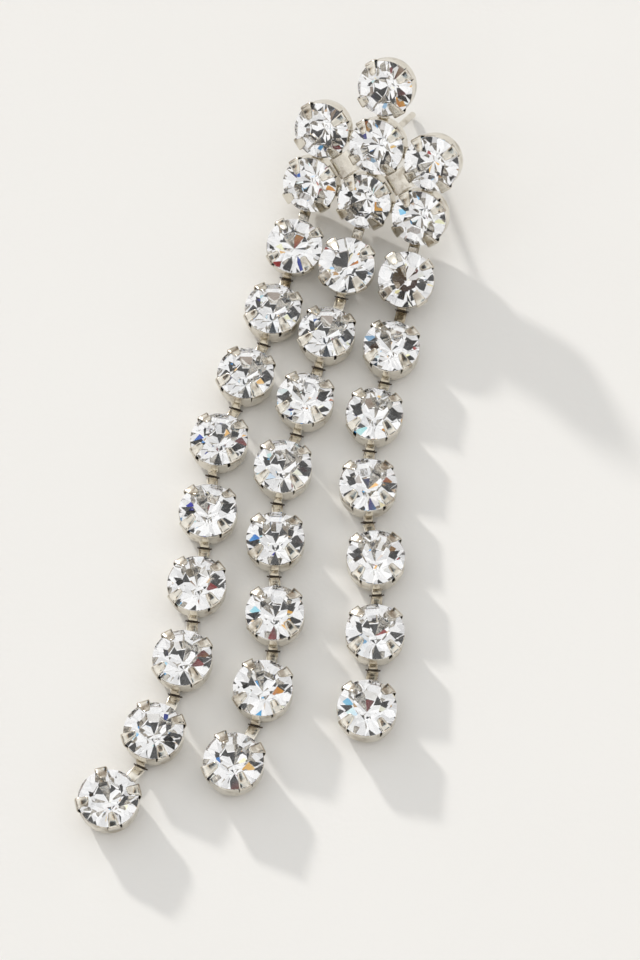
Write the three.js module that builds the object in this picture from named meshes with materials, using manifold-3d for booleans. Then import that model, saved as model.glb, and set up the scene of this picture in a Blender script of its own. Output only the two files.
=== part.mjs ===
// A chandelier earring of round crystals in four-prong cups, in millimetres, +Z up.
// It lies face up on a level surface at Z = 0: three loose strands lie flat, and the soldered
// cluster at the top leans on the tip of its ear post. +Y runs up the strands to the cluster.
import * as THREE from 'three';
import { mergeVertices } from 'three/addons/utils/BufferGeometryUtils.js';
import Module from 'manifold-3d';

const wasm = await Module();
wasm.setup();

// ---- Driving dimensions ------------------------------------------------------------------------
const SIDES = 16;                // sides of a cup and of a stone's edge, its girdle
const STONE_RADIUS = 3.0;
const TABLE_RADIUS = 1.55;
const CROWN_HEIGHT = 1.15;
const PAVILION_DEPTH = 2.65;

const CUP_RADIUS = 3.3;          // outside, at the rim
const CUP_BASE_RADIUS = 2.65;    // outside, at the foot
const CUP_BASE_DEPTH = 3.3;      // from the stone's girdle down to the foot
const CUP_SHOULDER_DEPTH = 1.5;  // the wall is upright above this depth and tapers below it
const CUP_WALL = 0.26;
const CUP_FLOOR = 0.4;

const PRONG_COUNT = 4;
const PRONG_TIP_WIDTH = 0.95;
const PRONG_THICKNESS = 0.24;
const PRONG_REACH = 1.15;        // how far a tip comes in over the stone's edge
const CLEARANCE = 0.07;          // between a stone and its cup

const CLUSTER_PITCH = 6.66;      // between the soldered cups
const TOP_CUP_SHIFT = -0.5;      // the topmost cup sits a little to the left of the middle column
const TOP_CUP_RISE = 6.9;
const SOLDER_WIDTH = 1.5;
const SOLDER_LENGTH = 0.6;
const SOLDER_HEIGHT = 1.1;
const SOLDER_DEPTH = 1.2;        // from the girdle down to the middle of a solder joint
const TIE_PLATE_SIDE = 3.1;      // the small square plates between four neighbouring cups
const TIE_PLATE_THICKNESS = 0.4;

const STRAND_PITCH = 8.75;       // between the linked cups
const LINK_WIDTH = 1.1;
const LINK_THICKNESS = 0.35;
const LINK_DEPTH = 2.55;         // from the girdle down to the middle of a link
const LINK_BITE = 0.15;          // how far a link goes into the walls that it joins
const HOOK_DEPTH = 1.2;          // from the girdle down to where a strand hooks onto the cluster
const HOOK_GAP = 0.3;            // between the cluster and the link that hooks onto it

const POST_RADIUS = 0.4;
const POST_LENGTH = 11.7;        // from the pad to the tip
const POST_PAD_RADIUS = 1.3;
const POST_PAD_THICKNESS = 0.4;
const POST_SIDES = 10;
const POST_GAP = 0.06;           // the film of solder between the pad and the cup

// How the cluster lies: it leans back on its post, turned a little and rolled a little.
const CLUSTER = { x: 6.36, y: 36.86, heading: 18.4, tilt: 49.8, roll: 3.4 };

// The fourth row hangs from the cluster's third row, each cup at its own slope.
const FOURTH_ROW = {
  left: { x: -2.9, y: 27.7, z: 3.9, heading: 14, tilt: 15, roll: -5 },
  middle: { x: 3.0, y: 24.65, z: 4.8, heading: 15, tilt: 20, roll: 0 },
  right: { x: 9.7, y: 23.1, z: 4.25, heading: 12, tilt: 24, roll: 0 },
};

// Each loose strand lies flat: where its first cup is, and how far each link turns from the -Y
// direction towards -X, in degrees.
const STRANDS = {
  left: { x: -5.3, y: 19.9, headings: [20, 19, 7, 7, 9, 19, 31] },
  middle: { x: 0.75, y: 16.9, headings: [16, 16, 5, 0, 8, 20] },
  right: { x: 8.0, y: 15.1, headings: [13, 5, -5, 1, 6] },
};

const METAL = { color: 0xd9d6cf, metalness: 1.0, roughness: 0.18 };
const CRYSTAL = { color: 0xf4f6f8, metalness: 0.0, roughness: 0.02 };

// ---- Helpers -----------------------------------------------------------------------------------
const radians = THREE.MathUtils.degToRad;
const twoDigits = (number) => String(number).padStart(2, '0');
const UP = new THREE.Vector3(0, 0, 1);

// A place is a matrix that carries the girdle's centre, +Y up the strand and +Z out of the stone.
function placeAt({ x, y, z, heading, tilt = 0, roll = 0 }) {
  const turn = new THREE.Euler(radians(tilt), radians(-roll), radians(-heading), 'ZXY');
  return new THREE.Matrix4().makeRotationFromEuler(turn).setPosition(x, y, z);
}

function solidFrom(geometry, matrix = new THREE.Matrix4()) {
  const bare = geometry.clone().applyMatrix4(matrix);
  bare.deleteAttribute('normal');
  bare.deleteAttribute('uv');
  const merged = mergeVertices(bare, 1e-4);
  return new wasm.Manifold(new wasm.Mesh({
    numProp: 3,
    vertProperties: new Float32Array(merged.attributes.position.array),
    triVerts: new Uint32Array(merged.index.array),
  }));
}

function geometryFrom(solid) {
  const { vertProperties, triVerts, numProp } = solid.getMesh();
  const corners = [];
  for (const vertex of triVerts) {
    corners.push(...vertProperties.slice(vertex * numProp, vertex * numProp + 3));
  }
  const geometry = new THREE.BufferGeometry();
  geometry.setAttribute('position', new THREE.Float32BufferAttribute(corners, 3));
  geometry.computeVertexNormals();
  return geometry;
}

const joined = (solids) => solids.reduce((whole, solid) => whole.add(solid));

function metalMesh(name, geometry) {
  const mesh = new THREE.Mesh(geometry, new THREE.MeshStandardMaterial(METAL));
  mesh.name = name;
  return mesh;
}

// A closed turned shape about +Z, from a profile of [radius, height] that starts and ends on the axis.
function turned(profile, sides) {
  const points = profile.map(([radius, height]) => new THREE.Vector2(radius, height));
  return new THREE.LatheGeometry(points, sides).rotateX(Math.PI / 2);
}

// ---- Faceted shapes ------------------------------------------------------------------------------
// Points around +Z at one radius and height, half a step off the X axis, so that flats face X and Y.
function ring(radius, height, count) {
  return Array.from({ length: count }, (_, k) => {
    const angle = ((k + 0.5) * 2 * Math.PI) / count;
    return new THREE.Vector3(radius * Math.cos(angle), radius * Math.sin(angle), height);
  });
}

// Collects flat faces, each given anticlockwise as seen from outside.
class Facets {
  corners = [];

  face(...points) {
    for (let k = 2; k < points.length; k += 1) {
      this.corners.push(points[0], points[k - 1], points[k]);
    }
  }

  // The sides between two rings with the same number of points, the first one below or outside.
  band(first, second, skip = () => false) {
    first.forEach((point, k) => {
      const next = (k + 1) % first.length;
      if (!skip(k)) {
        this.face(point, first[next], second[next], second[k]);
      }
    });
  }

  geometry() {
    const geometry = new THREE.BufferGeometry().setFromPoints(this.corners);
    geometry.computeVertexNormals();
    return geometry;
  }
}

// ---- The stone: an eight-sided table, a crown, a sharp girdle and a pointed pavilion --------------
function stoneGeometry() {
  const facets = new Facets();
  const halfSides = SIDES / 2;
  const table = ring(TABLE_RADIUS, CROWN_HEIGHT, halfSides);
  const girdle = ring(STONE_RADIUS, 0, SIDES);
  const culet = new THREE.Vector3(0, 0, -PAVILION_DEPTH);
  facets.face(...table);
  table.forEach((corner, k) => {
    const [first, second, third] = [0, 1, 2].map((step) => girdle[(2 * k + step) % SIDES]);
    facets.face(corner, first, second);
    facets.face(corner, second, third, table[(k + 1) % halfSides]);
  });
  girdle.forEach((corner, k) => facets.face(corner, culet, girdle[(k + 1) % SIDES]));
  return facets.geometry();
}

// ---- The cup: a thin tapering wall on a floor, with four prongs bent over the stone's edge --------
const isProng = (side) => side % (SIDES / PRONG_COUNT) === SIDES / PRONG_COUNT / 2 - 1;

// A prong carries one side of the wall up past the rim and in along the stone's crown.
function addProng(facets, outerRim, innerRim) {
  const outward = outerRim[0].clone().add(outerRim[1]).normalize();
  const sideways = outerRim[1].clone().sub(outerRim[0]).normalize();
  const spot = (radius, halfWidth, height) => new THREE.Vector3(0, 0, height)
    .addScaledVector(outward, radius)
    .addScaledVector(sideways, halfWidth);
  const outside = outerRim[0].dot(outward);
  const inside = innerRim[0].dot(outward);
  const shoulder = 2 * CLEARANCE;
  const slope = CROWN_HEIGHT / (STONE_RADIUS - TABLE_RADIUS);
  const tip = inside - PRONG_REACH;
  const tipHeight = shoulder + PRONG_REACH * slope;
  const side = (sign) => {
    const wide = (sign * outerRim[0].distanceTo(outerRim[1])) / 2;
    const narrow = (sign * innerRim[0].distanceTo(innerRim[1])) / 2;
    const end = (sign * PRONG_TIP_WIDTH) / 2;
    return [
      spot(outside, wide, 0),
      spot(outside, wide, shoulder + PRONG_THICKNESS / 2),
      spot(tip, end, tipHeight + PRONG_THICKNESS),
      spot(tip, end, tipHeight),
      spot(inside, narrow, shoulder),
      spot(inside, narrow, 0),
    ];
  };
  const [right, left] = [side(-1), side(1)];
  for (let k = 0; k < right.length - 1; k += 1) {
    facets.face(right[k], left[k], left[k + 1], right[k + 1]);
  }
  const [rimOut, bend, tipTop, tipUnder, bendUnder, rimIn] = [0, 1, 2, 3, 4, 5];
  for (const [points, order] of [[right, 1], [left, -1]]) {
    for (const quad of [[rimOut, bend, bendUnder, rimIn], [bend, tipTop, tipUnder, bendUnder]]) {
      const outline = quad.map((k) => points[k]);
      facets.face(...(order > 0 ? outline : outline.reverse()));
    }
  }
}

function cupGeometry() {
  const facets = new Facets();
  const inside = CUP_RADIUS - CUP_WALL;
  const foot = ring(CUP_BASE_RADIUS, -CUP_BASE_DEPTH, SIDES);
  const shoulder = ring(CUP_RADIUS, -CUP_SHOULDER_DEPTH, SIDES);
  const outerRim = ring(CUP_RADIUS, 0, SIDES);
  const innerRim = ring(inside, 0, SIDES);
  const floor = ring(CUP_BASE_RADIUS - CUP_WALL, CUP_FLOOR - CUP_BASE_DEPTH, SIDES);
  facets.band(foot, shoulder);
  facets.band(shoulder, outerRim);
  facets.band(outerRim, innerRim, isProng);
  facets.band(innerRim, floor);
  facets.face(...floor);
  facets.face(...foot.toReversed());
  outerRim.forEach((corner, k) => {
    if (isProng(k)) {
      const next = (k + 1) % SIDES;
      addProng(facets, [corner, outerRim[next]], [innerRim[k], innerRim[next]]);
    }
  });
  return facets.geometry();
}

// ---- Links and solder --------------------------------------------------------------------------
const block = (width, length, height) => new THREE.BoxGeometry(width, length, height);

// A flat strip from one point to another, level across its width.
function strip(from, to, width, thickness) {
  const along = to.clone().sub(from);
  const length = along.length();
  const sideways = new THREE.Vector3().crossVectors(along, UP).normalize();
  const forward = along.clone().normalize();
  const upward = new THREE.Vector3().crossVectors(sideways, forward);
  const middle = from.clone().add(to).multiplyScalar(0.5);
  const matrix = new THREE.Matrix4().makeBasis(sideways, forward, upward).setPosition(middle);
  return solidFrom(block(width, length, thickness), matrix);
}

// The wall's outside radius at the depth of the links.
const wallAtLink = CUP_RADIUS - (CUP_RADIUS - CUP_BASE_RADIUS)
  * ((LINK_DEPTH - CUP_SHOULDER_DEPTH) / (CUP_BASE_DEPTH - CUP_SHOULDER_DEPTH));

// Where a link enters a cup's wall: side +1 is up the strand, -1 is down it.
function linkPoint(place, side) {
  const reach = side * (wallAtLink - LINK_BITE);
  return new THREE.Vector3(0, reach, -LINK_DEPTH).applyMatrix4(place);
}

// Where a strand's first link hangs, just clear of the lower wall of a cup in the cluster.
function hookPoint(place) {
  return new THREE.Vector3(0, -CUP_RADIUS - HOOK_GAP, -HOOK_DEPTH).applyMatrix4(place);
}

// ---- Where every cup is --------------------------------------------------------------------------
const clusterTilt = radians(CLUSTER.tilt);
const leanOnPost = (CUP_BASE_DEPTH + POST_GAP + POST_PAD_THICKNESS + POST_LENGTH)
  * Math.cos(clusterTilt) * Math.cos(radians(CLUSTER.roll));
const clusterHeight = leanOnPost + POST_RADIUS * Math.sin(clusterTilt);
const clusterPlace = placeAt({ ...CLUSTER, z: clusterHeight });

function inCluster(column, row) {
  return clusterPlace.clone().multiply(
    new THREE.Matrix4().makeTranslation(column * CLUSTER_PITCH, -row * CLUSTER_PITCH, 0),
  );
}

const columns = { left: -1, middle: 0, right: 1 };
const topPlace = clusterPlace.clone().multiply(
  new THREE.Matrix4().makeTranslation(TOP_CUP_SHIFT, TOP_CUP_RISE, 0),
);

// A loose strand's places: each cup points along the mean of the links that meet at it.
function strandPlaces({ x, y, headings }) {
  const places = [];
  const spot = { x, y, z: CUP_BASE_DEPTH };
  for (let k = 0; k <= headings.length; k += 1) {
    const before = headings[Math.max(k - 1, 0)];
    const after = headings[Math.min(k, headings.length - 1)];
    places.push(placeAt({ ...spot, heading: (before + after) / 2 }));
    spot.x -= STRAND_PITCH * Math.sin(radians(after));
    spot.y -= STRAND_PITCH * Math.cos(radians(after));
  }
  return places;
}

// ---- Assembly ----------------------------------------------------------------------------------
const earring = new THREE.Group();
const oneCup = solidFrom(cupGeometry());
const oneStone = stoneGeometry();
const cupAt = (place) => oneCup.transform(place.elements);

function addStone(name, place) {
  const mesh = new THREE.Mesh(oneStone.clone(), new THREE.MeshStandardMaterial(CRYSTAL));
  mesh.name = name;
  place.decompose(mesh.position, mesh.quaternion, mesh.scale);
  earring.add(mesh);
}

// The cluster: seven cups soldered edge to edge, with a tie plate between each four of them.
function addCluster() {
  const inPlate = (geometry, x, y, depth, turn) => solidFrom(
    geometry,
    clusterPlace.clone()
      .multiply(new THREE.Matrix4().makeTranslation(x, y, -depth))
      .multiply(new THREE.Matrix4().makeRotationZ(turn)),
  );
  const solder = block(SOLDER_LENGTH, SOLDER_WIDTH, SOLDER_HEIGHT);
  const tiePlate = block(TIE_PLATE_SIDE, TIE_PLATE_SIDE, TIE_PLATE_THICKNESS);
  const half = CLUSTER_PITCH / 2;
  const solids = [cupAt(topPlace)];
  for (const row of [0, 1]) {
    for (const column of Object.values(columns)) {
      solids.push(cupAt(inCluster(column, row)));
    }
    solids.push(inPlate(solder, -half, -row * CLUSTER_PITCH, SOLDER_DEPTH, 0));
    solids.push(inPlate(solder, half, -row * CLUSTER_PITCH, SOLDER_DEPTH, 0));
  }
  for (const column of Object.values(columns)) {
    solids.push(inPlate(solder, column * CLUSTER_PITCH, -half, SOLDER_DEPTH, Math.PI / 2));
  }
  for (const side of [-1, 1]) {
    solids.push(inPlate(tiePlate, side * half, -half, SOLDER_DEPTH, Math.PI / 4));
  }
  const topTurn = Math.atan2(TOP_CUP_RISE, TOP_CUP_SHIFT);
  solids.push(inPlate(solder, TOP_CUP_SHIFT / 2, TOP_CUP_RISE / 2, SOLDER_DEPTH, topTurn));
  earring.add(metalMesh('cluster_setting', geometryFrom(joined(solids))));
  addStone('stone_top', topPlace);
}

// The ear post: a thin pin on a round pad, square to the back of the cluster's middle cup.
function addPost() {
  const pad = -CUP_BASE_DEPTH - POST_GAP;
  const foot = pad - POST_PAD_THICKNESS;
  const post = turned([
    [0, foot - POST_LENGTH],
    [POST_RADIUS, foot - POST_LENGTH],
    [POST_RADIUS, foot],
    [POST_PAD_RADIUS, foot],
    [POST_PAD_RADIUS, pad],
    [0, pad],
  ], POST_SIDES);
  const mesh = metalMesh('ear_post', post);
  clusterPlace.decompose(mesh.position, mesh.quaternion, mesh.scale);
  earring.add(mesh);
}

// One column: its two stones in the cluster, its fourth-row cup and its loose strand.
function addColumn(name) {
  const upper = [inCluster(columns[name], 0), inCluster(columns[name], 1)];
  const loose = [placeAt(FOURTH_ROW[name]), ...strandPlaces(STRANDS[name])];
  const solids = loose.map(cupAt);
  loose.forEach((place, k) => {
    const start = k === 0 ? hookPoint(upper[1]) : linkPoint(loose[k - 1], -1);
    solids.push(strip(start, linkPoint(place, 1), LINK_WIDTH, LINK_THICKNESS));
  });
  earring.add(metalMesh(`strand_${name}`, geometryFrom(joined(solids))));
  [...upper, ...loose].forEach((place, k) => {
    addStone(`stone_${name}_${twoDigits(k + 1)}`, place);
  });
}

addCluster();
addPost();
Object.keys(columns).forEach(addColumn);

// The origin is under the middle of the earring, on the surface that it lies on.
earring.updateMatrixWorld(true);
const bounds = new THREE.Box3().setFromObject(earring, true);
const middle = bounds.getCenter(new THREE.Vector3());
earring.position.set(-middle.x, -middle.y, -bounds.min.z);

export default earring;
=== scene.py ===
# %% [markdown]
# # A crystal chandelier earring, lying on a table
# The earring is cup chain: round stones with pointed, silvered backs, each held in a small stamped
# cup by four prongs. Seven cups are soldered into a plate that leans on its ear post, and three
# strands hang from it. This file builds the looks around a fixed frame that gives the real sizes.

# %% The frame and the tools
import math

import bpy
import numpy as np
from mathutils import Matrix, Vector


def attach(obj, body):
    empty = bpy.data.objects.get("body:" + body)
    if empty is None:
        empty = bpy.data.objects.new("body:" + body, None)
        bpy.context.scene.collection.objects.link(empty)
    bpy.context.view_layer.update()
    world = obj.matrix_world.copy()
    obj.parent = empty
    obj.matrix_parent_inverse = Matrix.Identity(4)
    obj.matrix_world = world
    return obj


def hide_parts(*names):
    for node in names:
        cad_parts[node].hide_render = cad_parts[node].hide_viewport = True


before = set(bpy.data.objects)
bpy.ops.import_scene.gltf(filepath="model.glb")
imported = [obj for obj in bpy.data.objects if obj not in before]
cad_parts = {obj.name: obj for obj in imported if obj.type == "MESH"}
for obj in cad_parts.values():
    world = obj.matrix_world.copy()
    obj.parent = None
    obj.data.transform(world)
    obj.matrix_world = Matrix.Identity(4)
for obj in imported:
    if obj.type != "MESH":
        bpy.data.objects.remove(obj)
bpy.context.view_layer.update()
MM = 0.001
rng = np.random.default_rng(31)
print("nodes in the frame:", len(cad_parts))

# %% [markdown]
# ## Where each stone sits
# The frame holds one plain stone for each real one. A stone is round, so its own corners say how it
# lies: it is flattest along its axis, its pointed back is below its table, and its widest corners are
# the girdle. Working that out here keeps every place in one source, the frame.

# %% Stone places
STRANDS = {"left": 11, "middle": 10, "right": 9}


def unit(vector):
    """The vector, or each row of an array of them, at length 1."""
    return vector / np.linalg.norm(vector, axis=-1, keepdims=True)


def corners_of(node):
    """The different corners of a frame node's mesh, in millimetres."""
    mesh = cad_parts[node].data
    flat = np.empty(len(mesh.vertices) * 3)
    mesh.vertices.foreach_get("co", flat)
    return np.unique(np.round(flat.reshape(-1, 3) / MM, 3), axis=0)


def stone_axis(node):
    """(centre of the girdle, direction out of the table), from the corners' spread about their mean."""
    corners = corners_of(node)
    middle = corners.mean(axis=0)
    spread = np.linalg.svd(corners - middle, full_matrices=False)[2]
    axis = spread[2]
    along = (corners - middle) @ axis
    if abs(along.min()) < abs(along.max()):
        axis, along = -axis, -along
    across = np.linalg.norm(corners - middle - along[:, None] * axis, axis=1)
    girdle = corners[across > 0.98 * across.max()]
    return girdle.mean(axis=0), axis


def place(centre, out, up_strand):
    """A 4 by 4 place: +Z out of the table, and +Y as near as can be to the direction up the strand."""
    side = unit(np.cross(up_strand, out))
    matrix = np.eye(4)
    matrix[:3, :3] = np.stack([side, np.cross(out, side), out], axis=1)
    matrix[:3, 3] = centre
    return matrix


columns = {}
for strand, count in STRANDS.items():
    found = [stone_axis(f"stone_{strand}_{k:02d}") for k in range(1, count + 1)]
    centres = np.array([centre for centre, _ in found])
    steps = centres[:-1] - centres[1:]
    above = np.concatenate([steps[:1], steps])
    below = np.concatenate([steps, steps[-1:]])
    along = unit(above) + unit(below)
    along[:2] = steps[0]
    columns[strand] = [place(*found[k], along[k]) for k in range(count)]
cluster_up = columns["middle"][0][:3, 1]
top_place = place(*stone_axis("stone_top"), cluster_up)
print("stones:", 1 + sum(len(places) for places in columns.values()))

# %% [markdown]
# ## Shapes as arrays
# Sheet metal bent into a wall, a prong or a link is one outline carried along a path, so one function
# makes them all: it skins a stack of rings, and closes the first and the last ring with a flat cap.

# %% Skins and pieces
class Shape:
    """Points in millimetres, and faces that index them, each with a material number."""

    def __init__(self, points, faces, kinds=None):
        self.points = points
        self.faces = faces
        self.kinds = kinds if kinds is not None else [0] * len(faces)

    def moved(self, matrix):
        """The same shape, carried by a 4 by 4 place."""
        return Shape(self.points @ matrix[:3, :3].T + matrix[:3, 3], self.faces, self.kinds)


def joined(shapes):
    """Several shapes as one."""
    points, faces, kinds, start = [], [], [], 0
    for shape in shapes:
        points.append(shape.points)
        faces += [[corner + start for corner in face] for face in shape.faces]
        kinds += shape.kinds
        start += len(shape.points)
    return Shape(np.concatenate(points), faces, kinds)


def skin(rings):
    """A closed surface through rings, an array of rows, columns and xyz: four-sided faces between each
    two rows, wrapped round the columns, with the first row facing down and the last one facing up."""
    rows, cols = rings.shape[:2]
    grid = np.arange(rows * cols).reshape(rows, cols)
    wrapped = np.roll(grid, -1, axis=1)
    sides = np.stack([grid[:-1], wrapped[:-1], wrapped[1:], grid[1:]], axis=-1).reshape(-1, 4)
    return Shape(rings.reshape(-1, 3), sides.tolist() + [grid[0, ::-1].tolist(), grid[-1].tolist()])


def add_piece(name, shape, materials, smooth_angle=None):
    """A mesh object on the root body, with its place in its points, and smooth where bends are mild."""
    mesh = bpy.data.meshes.new(name)
    mesh.from_pydata((shape.points * MM).tolist(), [], shape.faces)
    mesh.polygons.foreach_set("material_index", shape.kinds)
    for material in materials:
        mesh.materials.append(material)
    mesh.polygons.foreach_set("use_smooth", [smooth_angle is not None] * len(mesh.polygons))
    if smooth_angle is not None:
        mesh.set_sharp_from_angle(angle=math.radians(smooth_angle))
    mesh.update()
    piece = bpy.data.objects.new(name, mesh)
    bpy.context.scene.collection.objects.link(piece)
    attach(piece, "root")
    return piece


# %% [markdown]
# ## Shader maths
# A material is a small sum written in nodes. This class wraps a socket so that the sum reads as one.

# %% Sockets and trees
class Value:
    """A socket that takes part in Python expressions; each operator adds one Math node."""

    def __init__(self, tree, socket):
        self.tree = tree
        self.socket = socket

    def _math(self, operation, first, second):
        return self.tree.node("ShaderNodeMath", {"operation": operation}, {0: first, 1: second})

    def __add__(self, other):
        return self._math("ADD", self, other)

    def __radd__(self, other):
        return self._math("ADD", other, self)

    def __sub__(self, other):
        return self._math("SUBTRACT", self, other)

    def __rsub__(self, other):
        return self._math("SUBTRACT", other, self)

    def __mul__(self, other):
        return self._math("MULTIPLY", self, other)

    def __rmul__(self, other):
        return self._math("MULTIPLY", other, self)


class Tree:
    """A node tree being written."""

    def __init__(self, owner):
        owner.use_nodes = True
        self.nodes = owner.node_tree.nodes
        self.links = owner.node_tree.links
        self.nodes.clear()

    def node(self, kind, settings=None, inputs=None, output=0):
        """One node: its settings first, then the values or links of its sockets. Returns one output."""
        made = self.nodes.new(kind)
        for key, value in (settings or {}).items():
            setattr(made, key, value)
        for key, value in (inputs or {}).items():
            socket = made.inputs[key]
            if isinstance(value, Value):
                self.links.new(value.socket, socket)
            else:
                socket.default_value = value
        return Value(self, made.outputs[output]) if made.outputs else made

    def mix(self, factor, first, second):
        """A colour between two others."""
        settings = {"data_type": "RGBA"}
        return self.node("ShaderNodeMix", settings, {0: factor, 6: first, 7: second}, output=2)

    def noise(self, where, scale, detail=2.0):
        """Soft blotches at so many to the metre."""
        inputs = {"Vector": where, "Scale": scale, "Detail": detail}
        return self.node("ShaderNodeTexNoise", None, inputs)


def rgb(red, green, blue):
    return (red, green, blue, 1.0)


def new_material(name):
    """A material with an empty tree, and where on the piece the shader is working."""
    material = bpy.data.materials.new(name)
    tree = Tree(material)
    where = tree.node("ShaderNodeTexCoord", output="Object")
    return material, tree, where


def finish_material(tree, shader):
    tree.node("ShaderNodeOutputMaterial", None, {"Surface": shader})


# %% [markdown]
# ## Cut glass, silvered behind
# The stone is clear lead-free crystal with a silvered back. Light goes in through the crown, bounces
# between the silvered facets and comes out again, so the crown is glass and the back is a mirror on
# the same closed shape. Faint bench marks keep the polish from being perfect.

# %% Crystal and its silvered back
def make_crystal():
    material, tree, where = new_material("cut_crystal")
    marks = tree.noise(where, 2600.0, 4.0)
    shader = tree.node("ShaderNodeBsdfPrincipled", None, {
        "Base Color": rgb(0.985, 0.992, 1.0),
        "Roughness": marks * 0.012,
        "IOR": 1.56,
        "Transmission Weight": 1.0,
    })
    finish_material(tree, shader)
    return material


def make_foil():
    material, tree, where = new_material("silvered_back")
    clouds = tree.noise(where, 900.0)
    tone = tree.mix(clouds, rgb(0.87, 0.875, 0.885), rgb(0.94, 0.93, 0.92))
    shader = tree.node("ShaderNodeBsdfPrincipled", None, {
        "Base Color": tone,
        "Metallic": 1.0,
        "Roughness": clouds * 0.02,
    })
    finish_material(tree, shader)
    return material


# %% [markdown]
# ## The metal
# The cups are stamped from thin brass and plated bright. Tumbling and polishing leave a fine grain and
# a slow swell, and wear turns the plating a little warm. Inside the cups and in the slots the metal is
# painted nearly black as painted shade, which draws the thin dark lines by the stones.

# %% Plated metal and painted shade
def make_plating():
    material, tree, where = new_material("bright_plating")
    grain = tree.noise(where, 5200.0, 5.0)
    swell = tree.noise(where, 900.0)
    tone = tree.mix(swell, rgb(0.62, 0.58, 0.50), rgb(0.86, 0.825, 0.75))
    worn = tree.node("ShaderNodeMapRange", None, {
        "Value": tree.noise(where, 640.0, 3.0), "From Min": 0.52, "From Max": 0.66})
    tone = tree.mix(worn * 0.65, tone, rgb(0.32, 0.265, 0.19))
    relief = tree.node("ShaderNodeBump", None, {
        "Strength": 0.35, "Distance": 0.00004, "Height": grain * 0.35 + swell})
    shader = tree.node("ShaderNodeBsdfPrincipled", None, {
        "Base Color": tone,
        "Metallic": 1.0,
        "Roughness": 0.08 + grain * 0.14,
        "Normal": relief,
    })
    finish_material(tree, shader)
    return material


def make_painted_shade():
    """Painted shade: near-black metal for inside the cups and the slots, where shade falls."""
    material, tree, where = new_material("painted_shade_metal")
    patches = tree.noise(where, 2400.0, 3.0)
    # Near-black painted shade for the cup insides and the slots, not a colour of the metal.
    tone = tree.mix(patches, rgb(0.035, 0.028, 0.022), rgb(0.13, 0.10, 0.075))
    shader = tree.node("ShaderNodeBsdfPrincipled", None, {
        "Base Color": tone, "Metallic": 0.6, "Roughness": 0.5 + patches * 0.2})
    finish_material(tree, shader)
    return material


crystal = make_crystal()
foil = make_foil()
plating = make_plating()
painted_shade = make_painted_shade()
print("materials:", [material.name for material in (crystal, foil, plating, painted_shade)])

# %% [markdown]
# ## Cutting one stone
# A cutter grinds flat facets one after another off a round blank, and what is left is the space that
# lies behind all of them. So the stone is worked out the same way: each facet is a plane, and each
# corner is a point where three planes meet that no other plane cuts off.

# %% The facets
GIRDLE_RADIUS = 3.16
TABLE_RADIUS = 1.52
CROWN_HEIGHT = 1.2
PAVILION_DEPTH = 2.8
GIRDLE_EDGE = 0.04
BLANK_SIDES = 48


def facet_ring(count, offset, slope_deg, reach, height):
    """Planes around +Z as rows (nx, ny, nz, d), n.p <= d: each one leans back by its slope from upright
    and passes through the given radius and height. A negative slope gives the facets of the back."""
    turn = (np.arange(count) + offset) * 2 * np.pi / count
    slope = math.radians(slope_deg)
    flat, rise = math.cos(slope), math.sin(slope)
    normals = np.stack([flat * np.cos(turn), flat * np.sin(turn), np.full(count, rise)], axis=1)
    return np.column_stack([normals, np.full(count, flat * reach + rise * height)])


def rise_angle(inner_radius, height):
    """How far a facet from the girdle up, or down, to that radius leans back from upright."""
    return math.degrees(math.atan2(GIRDLE_RADIUS - inner_radius, height))


def cut_planes():
    apothem = TABLE_RADIUS * math.cos(math.pi / 8)
    main = rise_angle(apothem, CROWN_HEIGHT - GIRDLE_EDGE)
    corner = rise_angle(TABLE_RADIUS, CROWN_HEIGHT - GIRDLE_EDGE)
    back = rise_angle(0.0, PAVILION_DEPTH - GIRDLE_EDGE)
    return np.concatenate([
        [[0.0, 0.0, 1.0, CROWN_HEIGHT]],
        facet_ring(8, 0.0, main, GIRDLE_RADIUS, GIRDLE_EDGE),
        facet_ring(8, 0.5, corner, GIRDLE_RADIUS, GIRDLE_EDGE),
        facet_ring(BLANK_SIDES, 0.5, 0.0, GIRDLE_RADIUS, 0.0),
        facet_ring(8, 0.0, -back, GIRDLE_RADIUS, -GIRDLE_EDGE),
        facet_ring(8, 0.5, -back + 2.6, GIRDLE_RADIUS, -GIRDLE_EDGE),
    ])


def shape_behind(planes, roomy=1e-6):
    """The solid behind all the planes: every three planes are solved for their common point, points in
    front of any plane are dropped, and each plane's points, in order of turn, are its face."""
    trios = np.array(np.meshgrid(*[np.arange(len(planes))] * 3, indexing="ij")).reshape(3, -1).T
    trios = trios[(trios[:, 0] < trios[:, 1]) & (trios[:, 1] < trios[:, 2])]
    normals, reach = planes[trios, :3], planes[trios, 3]
    meets = np.abs(np.linalg.det(normals)) > 1e-9
    points = np.linalg.solve(normals[meets], reach[meets][..., None])[..., 0]
    inside = (points @ planes[:, :3].T <= planes[:, 3] + roomy).all(axis=1)
    points = np.unique(np.round(points[inside], 5), axis=0)
    faces, owners = [], []
    for k, (*normal, distance) in enumerate(planes):
        on = np.flatnonzero(np.abs(points @ normal - distance) < 1e-4)
        if len(on) < 3:
            continue
        spokes = points[on] - points[on].mean(axis=0)
        side = unit(spokes[0])
        turn = np.arctan2(spokes @ np.cross(normal, side), spokes @ side)
        faces.append(on[np.argsort(turn)].tolist())
        owners.append(k)
    return points, faces, np.array(owners)


planes = cut_planes()
points, faces, owners = shape_behind(planes)
silvered = planes[owners, 2] < -0.01
ONE_STONE = Shape(points, faces, silvered.astype(int).tolist())
print("one stone:", len(points), "corners,", len(faces), "facets,", int(silvered.sum()), "silvered")

# %% [markdown]
# ## Setting the stones
# At the bench each stone is dropped into its cup just as it comes, so no two are turned alike and none
# sits quite level. That is why one strand shows so many different patterns of dark and bright.

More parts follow.
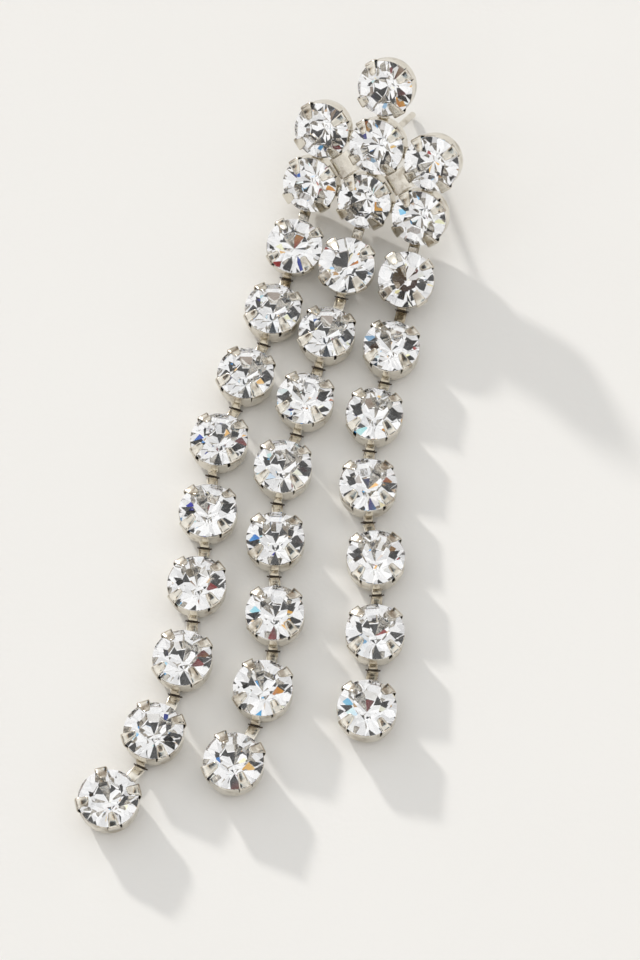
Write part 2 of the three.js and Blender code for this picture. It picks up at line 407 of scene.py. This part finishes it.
# %% Setting the stones
def turned(degrees):
    """A turn about +Z."""
    angle = math.radians(degrees)
    matrix = np.eye(4)
    matrix[:2, :2] = [[math.cos(angle), -math.sin(angle)], [math.sin(angle), math.cos(angle)]]
    return matrix


def leaning(lean_deg, towards_deg):
    """A small lean away from upright, towards a direction round the girdle."""
    lean = math.radians(lean_deg)
    tip = np.eye(4)
    tip[1:3, 1:3] = [[math.cos(lean), -math.sin(lean)], [math.sin(lean), math.cos(lean)]]
    return turned(towards_deg) @ tip @ turned(-towards_deg)


def set_stone(node, where):
    """One stone, dropped into its cup at a chance turn and a chance slight lean."""
    lie = leaning(rng.uniform(0.0, 1.4), rng.uniform(0, 360)) @ turned(rng.uniform(0, 360))
    piece = add_piece(f"crystal_{node[6:]}", ONE_STONE.moved(where @ lie), [crystal, foil])
    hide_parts(node)


set_stone("stone_top", top_place)
for strand, places in columns.items():
    for k, where in enumerate(places, start=1):
        set_stone(f"stone_{strand}_{k:02d}", where)
print("stones set, each with", len(ONE_STONE.faces), "facets")

# %% [markdown]
# ## The cup
# A cup is stamped from thin sheet: a drawn wall that tapers to a flat foot, cut down beside four
# prongs that are bent over the stone. The wall is a turned profile whose rim drops into a notch
# behind each prong, and a prong is a flat strip that follows the wall up and the crown in.

# %% Wall
CUP_RADIUS = 3.2
FOOT_RADIUS = 2.65
FOOT_DEPTH = 3.3
SHOULDER_DEPTH = 1.5
WALL = 0.16
RIM_DEPTH = 0.2
FLOOR = 0.4
FOOT_ROUND = 0.14
PRONG_WIDTH = 1.4
NOTCH_DEPTH = 1.1
NOTCH_PLAY = 0.08
PRONG_TURNS = np.radians([45, 135, 225, 315])
HALF_NOTCH = (PRONG_WIDTH / 2 + NOTCH_PLAY) / CUP_RADIUS


def wall_radius(depth):
    """Outside radius at a depth below the girdle: upright down to the shoulder, then a quarter wave in."""
    share = np.clip((FOOT_DEPTH - depth) / (FOOT_DEPTH - SHOULDER_DEPTH), 0, 1)
    return FOOT_RADIUS + (CUP_RADIUS - FOOT_RADIUS) * np.sin(share * np.pi / 2)


def from_prong(turns):
    """How far each angle is from the middle of the nearest prong."""
    return np.abs((turns[:, None] - PRONG_TURNS + np.pi) % (2 * np.pi) - np.pi).min(axis=1)


def wall_turns():
    """Angles round the wall, close together at the notches' edges so that those stay crisp."""
    edges = PRONG_TURNS[:, None] + HALF_NOTCH * np.array([-1, 0, 1])
    crisp = PRONG_TURNS[:, None] + np.array([-1, 1]) * (HALF_NOTCH + 0.004)
    even = (np.arange(56) + 0.5) * 2 * np.pi / 56
    even = even[from_prong(even) > HALF_NOTCH + 0.02]
    return np.sort(np.concatenate([edges.ravel(), crisp.ravel(), even]))


def cup_wall():
    """Rings from the foot up the outside, over the rim and down the inside to the floor."""
    turns = wall_turns()
    rim = np.where(from_prong(turns) <= HALF_NOTCH + 1e-6, -NOTCH_DEPTH, -RIM_DEPTH)
    rise = np.linspace(0, 1, 9)[:, None] ** 0.8
    foot = -FOOT_DEPTH + FOOT_ROUND
    outer_height = foot + (rim - 0.05 - foot) * rise
    outer_radius = wall_radius(-outer_height)
    inner_height = (FLOOR - FOOT_DEPTH) + (rim - 0.05 - FLOOR + FOOT_DEPTH) * rise[::-1]
    inner_radius = wall_radius(-inner_height) - WALL
    level = np.ones_like(turns)
    heights = np.concatenate([
        [-FOOT_DEPTH * level, (-FOOT_DEPTH + 0.04) * level], outer_height,
        [rim - 0.015, rim, rim - 0.015], inner_height])
    radii = np.concatenate([
        [(FOOT_RADIUS - FOOT_ROUND) * level, (FOOT_RADIUS - 0.04) * level], outer_radius,
        [outer_radius[-1] - 0.03, outer_radius[-1] - WALL / 2, outer_radius[-1] - WALL + 0.03],
        inner_radius])
    wall = skin(np.stack([radii * np.cos(turns), radii * np.sin(turns), heights], axis=-1))
    # The inside faces get the second material, near-black painted shade, so the notches beside the prongs look dark.
    inner = (len(radii) - 9) * len(turns)
    wall.kinds = [int(min(face) >= inner) for face in wall.faces]
    return wall


# %% [markdown]
# ## Prongs
# A prong is a tongue of the same sheet. It leaves the wall, bulges out past the stone's edge, is pushed
# over it and tapers to a rounded tip on the crown. The four bulges make a round setting look squarish.

# %% Prongs
SHEET = 0.22
CROWN_RISE = (CROWN_HEIGHT - GIRDLE_EDGE) / (GIRDLE_RADIUS - TABLE_RADIUS)
SHOULDER_RADIUS = 3.5


def flat_section(width, thick, count=16):
    """A rounded flat strip's cross-section: a squared-off ellipse. Width and thickness may be columns."""
    turn = (np.arange(count) + 0.5) * 2 * np.pi / count
    across, through = np.cos(turn), np.sin(turn)
    across = np.sign(across) * np.abs(across) ** 0.55
    through = np.sign(through) * np.abs(through) ** 0.55
    return across * width / 2, through * thick / 2


def strip(path, across, width, thick):
    """A flat strip along a path of points, with its width along `across`: rings of its cross-section,
    each square to the path. Width and thickness are one number or a column with one for each point."""
    ahead = unit(np.gradient(path, axis=0))
    up = unit(np.cross(ahead, across))
    wide, high = flat_section(np.broadcast_to(width, (len(path), 1)), thick)
    rings = path[:, None] + wide[..., None] * across + high[..., None] * up[:, None]
    return skin(rings)


def softened(line, rounds=3):
    """A bent line with its corners cut off over and over, each cut a quarter of the way along."""
    for _ in range(rounds):
        first = 0.75 * line[:-1] + 0.25 * line[1:]
        second = 0.25 * line[:-1] + 0.75 * line[1:]
        cut = np.stack([first, second], axis=1).reshape(-1, line.shape[1])
        line = np.concatenate([line[:1], cut, line[-1:]])
    return line


def prong(tip_radius, width, lift):
    """Up the wall, out over a shoulder past the girdle and in along the crown to the rounded tip."""
    over = GIRDLE_EDGE + (0.03 + lift + SHEET / 2) * math.hypot(1, CROWN_RISE)

    def above(radius):
        return over + (GIRDLE_RADIUS - radius) * CROWN_RISE

    shoulder = SHOULDER_RADIUS - SHEET / 2
    line = softened(np.array([
        [CUP_RADIUS - SHEET / 2 - 0.01, -1.7],
        [CUP_RADIUS - SHEET / 2 - 0.01, -0.9],
        [shoulder, -0.15],
        [shoulder, above(shoulder) + 0.22],
        [2.8, above(2.8) + 0.02],
        [tip_radius + 0.3, above(tip_radius + 0.3)],
        [tip_radius, above(tip_radius)]]))
    path = np.column_stack([line[:, 0], np.zeros(len(line)), line[:, 1]])
    travel = np.concatenate([[0], np.cumsum(np.linalg.norm(np.diff(line, axis=0), axis=1))])
    left = (travel[-1] - travel)[:, None]
    taper = 1 - 0.48 * np.clip(1 - left / 1.8, 0, 1)
    rounded = np.sqrt(np.clip(1 - np.clip(1 - left / 0.3, 0, 1) ** 2, 0, 1)) * 0.4 + 0.6
    thin = np.where(left < 0.1, 0.7, 1.0)
    return strip(path, np.array([0.0, 1.0, 0.0]), width * taper * rounded, SHEET * thin)


WALL_SHAPE = cup_wall()


def cup():
    """One cup, with prongs bent a little differently each time."""
    prongs = []
    for turn in PRONG_TURNS:
        tip = 1.95 + rng.uniform(-0.15, 0.15)
        bent = prong(tip, PRONG_WIDTH * rng.uniform(0.92, 1.04), rng.uniform(0.0, 0.05))
        prongs.append(bent.moved(turned(math.degrees(turn) + rng.uniform(-1.5, 1.5))))
    return joined([WALL_SHAPE, *prongs])


print("one cup:", len(cup().faces), "faces")

# %% [markdown]
# ## Links
# Cup chain is linked low down. A short flap stamped out of the wall hooks into a slot in a flat strip,
# and the strip runs under the next cup. The dark line across each link is painted shadow: a thin
# near-black strip laid in that slot. The last cup of each strand holds no link, so it is left without a flap.

# %% Link strips and tongues
LINK_DEPTH = 2.85
LINK_WIDTH = 1.25
LINK_SHEET = 0.24
TAB_WIDTH = 1.1
SLOT = 0.11
SIDEWAYS = np.array([1.0, 0.0, 0.0])


def point(where, *xyz):
    """A point given on a cup, in the earring's frame."""
    return where[:3, :3] @ np.array(xyz) + where[:3, 3]


def link(start, end, level):
    """A flat strip between two points, bowed a little up at its middle."""
    share = np.linspace(0, 1, 13)[:, None]
    path = start + (end - start) * share
    path[:, 2] += 0.16 * np.sin(share[:, 0] * np.pi)
    across = unit(np.cross(end - start, level))
    return strip(path, across, LINK_WIDTH, LINK_SHEET)


def tab():
    """A flap stamped down out of the wall on the side down the strand, standing just proud of it."""
    line = softened(np.array([[3.02, -1.15], [3.2, -1.5], [3.26, -2.1], [3.24, -LINK_DEPTH + 0.12]]), 2)
    path = np.column_stack([np.zeros(len(line)), -line[:, 0], line[:, 1]])
    return strip(path, SIDEWAYS, TAB_WIDTH, 0.18)


def slot():
    """Painted shadow in the slot under the flap: a thin near-black strip, wider than the flap and curved with the
    wall.
    """
    turn = np.radians(np.linspace(-13.5, 13.5, 9))
    path = np.column_stack([3.4 * np.sin(turn), -3.4 * np.cos(turn), np.full(9, 0.06 - LINK_DEPTH)])
    shape = strip(path, np.array([0.0, 0.0, 1.0]), 0.26, SLOT)
    # The whole strip takes the second material, near-black painted shade.
    shape.kinds = [1] * len(shape.faces)
    return shape


def strand_shapes(places, first):
    """All the metal of one strand from its fourth-row cup down. `first` is where it hooks on."""
    shapes = [cup().moved(where) for where in places]
    start = first
    for k, where in enumerate(places):
        inside = wall_radius(LINK_DEPTH) - 0.12
        shapes.append(link(start, point(where, 0, inside, -LINK_DEPTH), where[:3, 2]))
        if k < len(places) - 1:
            shapes += [tab().moved(where), slot().moved(where)]
        start = point(where, 0, -3.46, -LINK_DEPTH)
    return shapes


for strand, places in columns.items():
    hook = point(places[1], 0, -CUP_RADIUS + 0.1, -1.2)
    metal = joined(strand_shapes(places[2:], hook))
    piece = add_piece(f"cup_chain_{strand}", metal, [plating, painted_shade], smooth_angle=35)
    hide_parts(f"strand_{strand}")
    print(piece.name, "has", len(metal.faces), "faces")

# %% [markdown]
# ## The cluster
# Seven cups are soldered wall to wall, and small square plates fill the gaps where four cups meet.
# The rows are laid out from the frame's own stones, so the joints land between them.

# %% The cluster
PITCH = np.linalg.norm(columns["left"][0][:3, 3] - columns["middle"][0][:3, 3])


def solder_joint(where, x, y, across_deg):
    """A small lump of solder between two walls: a flat ball."""
    lat = np.linspace(-1.35, 1.35, 8)[:, None]
    lon = np.arange(16) * 2 * np.pi / 16
    rings = np.stack([
        0.36 * np.cos(lat) * np.cos(lon),
        0.8 * np.cos(lat) * np.sin(lon),
        0.7 * np.sin(lat) * np.ones(16) - 1.1], axis=-1)
    moved = skin(rings).moved(turned(across_deg))
    moved.points += [x, y, 0]
    return moved.moved(where)


def tie_plate(where, x, y):
    """A small square plate between four cups, its corners towards the joints."""
    across = np.array([1.0, 1.0, 0.0]) / math.sqrt(2)
    along = np.array([1.0, -1.0, 0.0]) / math.sqrt(2)
    path = np.linspace(-1.3, 1.3, 4)[:, None] * along + [x, y, -0.8]
    return strip(path, across, 2.6, 0.3).moved(where)


shapes = [cup().moved(top_place)]
for places in columns.values():
    shapes += [cup().moved(where) for where in places[:2]]
middle = columns["middle"][0]
half = PITCH / 2
for side in (-1, 1):
    shapes += [solder_joint(middle, side * half, -row * PITCH, 0) for row in (0, 1)]
    shapes.append(tie_plate(middle, side * half, -half))
shapes += [solder_joint(middle, side * PITCH, -half, 90) for side in (-1, 0, 1)]
to_top = np.linalg.inv(middle) @ top_place[:, 3]
shapes.append(solder_joint(middle, to_top[0] / 2, to_top[1] / 2, 90))
piece = add_piece("cluster_cups", joined(shapes), [plating, painted_shade], smooth_angle=35)
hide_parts("cluster_setting")
print(piece.name, "has", len(piece.data.polygons), "faces")

# %% [markdown]
# ## The ear post
# The pin that goes through the ear is hidden behind the cluster, and holds its top end off the table.
# It is turned from wire: a round pad soldered to a cup, a small fillet, the pin and a rounded tip.

# %% The ear post
POST_RADIUS = 0.4
POST_LENGTH = 11.7
PAD_RADIUS = 1.05
PAD = 0.4


def post():
    """A turned profile: a domed pad, a fillet, the pin, and a rounded tip."""
    top = -FOOT_DEPTH - 0.02
    turn = np.linspace(0, np.pi / 2, 6)
    tip = top - PAD - POST_LENGTH
    radii = np.concatenate([
        [0.12], POST_RADIUS * np.sin(turn[1:]) ** 0.5, [POST_RADIUS] * 2, POST_RADIUS + 0.3 * (1 - np.cos(turn)),
        [PAD_RADIUS - 0.12, PAD_RADIUS, PAD_RADIUS, PAD_RADIUS - 0.1]])
    heights = np.concatenate([
        [tip], tip + 0.25 * (1 - np.cos(turn[1:])), [tip + 0.6, top - PAD - 0.4], top - PAD - 0.3 * (1 - np.sin(turn)),
        [top - PAD + 0.02, top - PAD + 0.12, top - 0.1, top]])
    lon = np.arange(40) * 2 * np.pi / 40
    rings = np.stack(np.broadcast_arrays(
        radii[:, None] * np.cos(lon), radii[:, None] * np.sin(lon), heights[:, None]), axis=-1)
    return skin(rings)


piece = add_piece("post_and_pad", post().moved(middle), [plating, painted_shade], smooth_angle=35)
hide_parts("ear_post")
print(piece.name, "has", len(piece.data.polygons), "faces")

# %% [markdown]
# ## The table, and why the studio needs dark gaps
# The earring lies on pale paper. Cut glass shows its surroundings in every facet, so a bright studio
# needs a few dark gaps between its white panels: without them the stones would have no contrast. Each
# gap is shifted a little between red, green and blue, which stands for the way crystal spreads light.

# %% Table
def make_paper():
    material, tree, where = new_material("table_paper")
    fibre = tree.noise(where, 1400.0, 6.0)
    cloud = tree.noise(where, 18.0)
    tone = tree.mix(cloud, rgb(0.82, 0.812, 0.79), rgb(0.845, 0.837, 0.818))
    relief = tree.node("ShaderNodeBump", None, {
        "Strength": 0.12, "Distance": 0.0002, "Height": fibre})
    shader = tree.node("ShaderNodeBsdfPrincipled", None, {
        "Base Color": tone, "Roughness": 0.9, "Specular IOR Level": 0.2, "Normal": relief})
    finish_material(tree, shader)
    return material


TABLE_HALF = 1500.0
table_mesh = bpy.data.meshes.new("table")
table_corners = np.array([[-1, -1, 0], [1, -1, 0], [1, 1, 0], [-1, 1, 0]]) * TABLE_HALF * MM
table_mesh.from_pydata(table_corners.tolist(), [], [[0, 1, 2, 3]])
table_mesh.materials.append(make_paper())
table = bpy.data.objects.new("table", table_mesh)
bpy.context.scene.collection.objects.link(table)
print("table:", TABLE_HALF * 2 * MM, "m across")

# %% [markdown]
# ## The studio
# The dome of light is a product of soft-edged gaps, uneven panels and a darker, warmer room low down.
# The metal takes its brown edges from that room, and the stones take their dark facets from the gaps.

# %% Studio
DARK_GAPS = [
    # azimuth and elevation of the middle, half width and lean of the coloured fringe, all in degrees
    (0, 64, 12, 30), (62, 46, 7, 75), (160, 46, 6, 200), (215, 58, 6, 10), (240, 34, 8, 250),
    (300, 42, 8, 320), (52, 24, 11, 100), (335, 40, 7, 60), (95, 26, 7, 60), (190, 16, 18, 300),
]
DARK = 0.045
FRINGE = 0.55
EDGE = 1.2
ROOM = {"top": 25.0, "tint": (0.22, 0.165, 0.12)}


def towards(azimuth, elevation):
    """The direction to something seen at that azimuth; 0 is on the viewer's side and 90 on the left."""
    turn, rise = math.radians(azimuth), math.radians(elevation)
    return (-math.sin(turn) * math.cos(rise), -math.cos(turn) * math.cos(rise), math.sin(rise))


def make_studio():
    world = bpy.data.worlds.new("studio")
    bpy.context.scene.world = world
    tree = Tree(world)
    look = tree.node("ShaderNodeTexCoord", output="Generated")
    cloud = tree.node("ShaderNodeTexNoise", None, {"Vector": look, "Scale": 3.2, "Detail": 1.0})
    shade = tree.node("ShaderNodeMapRange", None, {
        "Value": cloud, "From Min": 0.38, "From Max": 0.62, "To Min": 0.74, "To Max": 1.04})
    light = tree.node("ShaderNodeVectorMath", {"operation": "SCALE"},
                      {0: (1.0, 0.995, 0.985), "Scale": shade})
    for azimuth, elevation, half_width, lean in DARK_GAPS:
        toward = []
        for shift in (-FRINGE, 0.0, FRINGE):
            lean_x = shift * math.cos(math.radians(lean)) / math.cos(math.radians(elevation))
            centre = towards(azimuth + lean_x, elevation + shift * math.sin(math.radians(lean)))
            toward.append(tree.node("ShaderNodeVectorMath", {"operation": "DOT_PRODUCT"},
                                    {0: look, 1: centre}, output="Value"))
        vector = tree.node("ShaderNodeCombineXYZ", None, dict(enumerate(toward)))
        lit = tree.node("ShaderNodeMapRange", {"data_type": "FLOAT_VECTOR", "clamp": True}, {
            "Vector": vector, 7: [math.cos(math.radians(half_width))] * 3,
            8: [math.cos(math.radians(half_width + EDGE))] * 3, 9: [DARK] * 3, 10: [1.0] * 3},
            output="Vector")
        light = tree.node("ShaderNodeVectorMath", {"operation": "MULTIPLY"}, {0: light, 1: lit})
    height = tree.node("ShaderNodeSeparateXYZ", None, {0: look}, output="Z")
    above = tree.node("ShaderNodeMapRange", None, {
        "Value": height, "From Min": 0.02, "From Max": math.sin(math.radians(ROOM["top"]))})
    light = tree.mix(above, rgb(*ROOM["tint"]), light)
    seen = tree.node("ShaderNodeLightPath", output="Is Camera Ray")
    plain = tree.node("ShaderNodeBackground", None, {"Color": rgb(0.86, 0.85, 0.83), "Strength": 1.0})
    panels = tree.node("ShaderNodeBackground", None, {"Color": light, "Strength": 1.19})
    shown = tree.node("ShaderNodeMixShader", None, {0: seen, 1: panels, 2: plain})
    tree.node("ShaderNodeOutputWorld", None, {"Surface": shown})


make_studio()
print("studio:", len(DARK_GAPS), "dark gaps")

# %% [markdown]
# ## The key light
# A low sun from behind on the left draws the long shadows towards the lower right.

# %% Key light
KEY = {"azimuth": 146.5, "elevation": 20.5, "strength": 1.9, "width_deg": 3.6}
key_data = bpy.data.lights.new("key", "SUN")
key_data.energy = KEY["strength"]
key_data.angle = math.radians(KEY["width_deg"])
key_data.color = (1.0, 0.97, 0.93)
key = bpy.data.objects.new("key", key_data)
key.rotation_euler = Vector(towards(KEY["azimuth"], KEY["elevation"])).to_track_quat("Z", "Y").to_euler()
bpy.context.scene.collection.objects.link(key)
print("key light from", KEY["azimuth"], "degrees round and", KEY["elevation"], "up")

# %% [markdown]
# ## The camera
# A long lens looks down steeply from the viewer's side, as a catalogue camera does over a table.

# %% Camera
VIEW_ELEVATION = 64.0
DISTANCE = 321.0
LENS = 108.75
AIM = np.array([4.5626, -3.1804, 0.0])
camera_data = bpy.data.cameras.new("camera")
camera_data.lens = LENS
camera_data.sensor_width = 36.0
camera_data.clip_start = 0.01
camera_data.clip_end = 20.0
camera = bpy.data.objects.new("camera", camera_data)
sight = np.array(towards(0, VIEW_ELEVATION))
camera.location = (AIM + sight * DISTANCE) * MM
camera.rotation_euler = Vector(sight).to_track_quat("Z", "Y").to_euler()
bpy.context.scene.collection.objects.link(camera)
bpy.context.scene.camera = camera
print("camera at", [round(value, 4) for value in camera.location])

# %% [markdown]
# ## Light paths
# Light crosses a stone many times before it leaves, so the paths are long. Light thrown on by the
# metal and the stones brightens the table between the strands, and it is kept free of stray sparks.

# %% Light paths
scene = bpy.context.scene
scene.view_settings.view_transform = "Standard"
scene.cycles.max_bounces = 24
scene.cycles.glossy_bounces = 16
scene.cycles.transmission_bounces = 16
scene.cycles.caustics_reflective = True
scene.cycles.caustics_refractive = True
scene.cycles.blur_glossy = 0.4
scene.cycles.sample_clamp_indirect = 3.0
print("bounces:", scene.cycles.max_bounces)
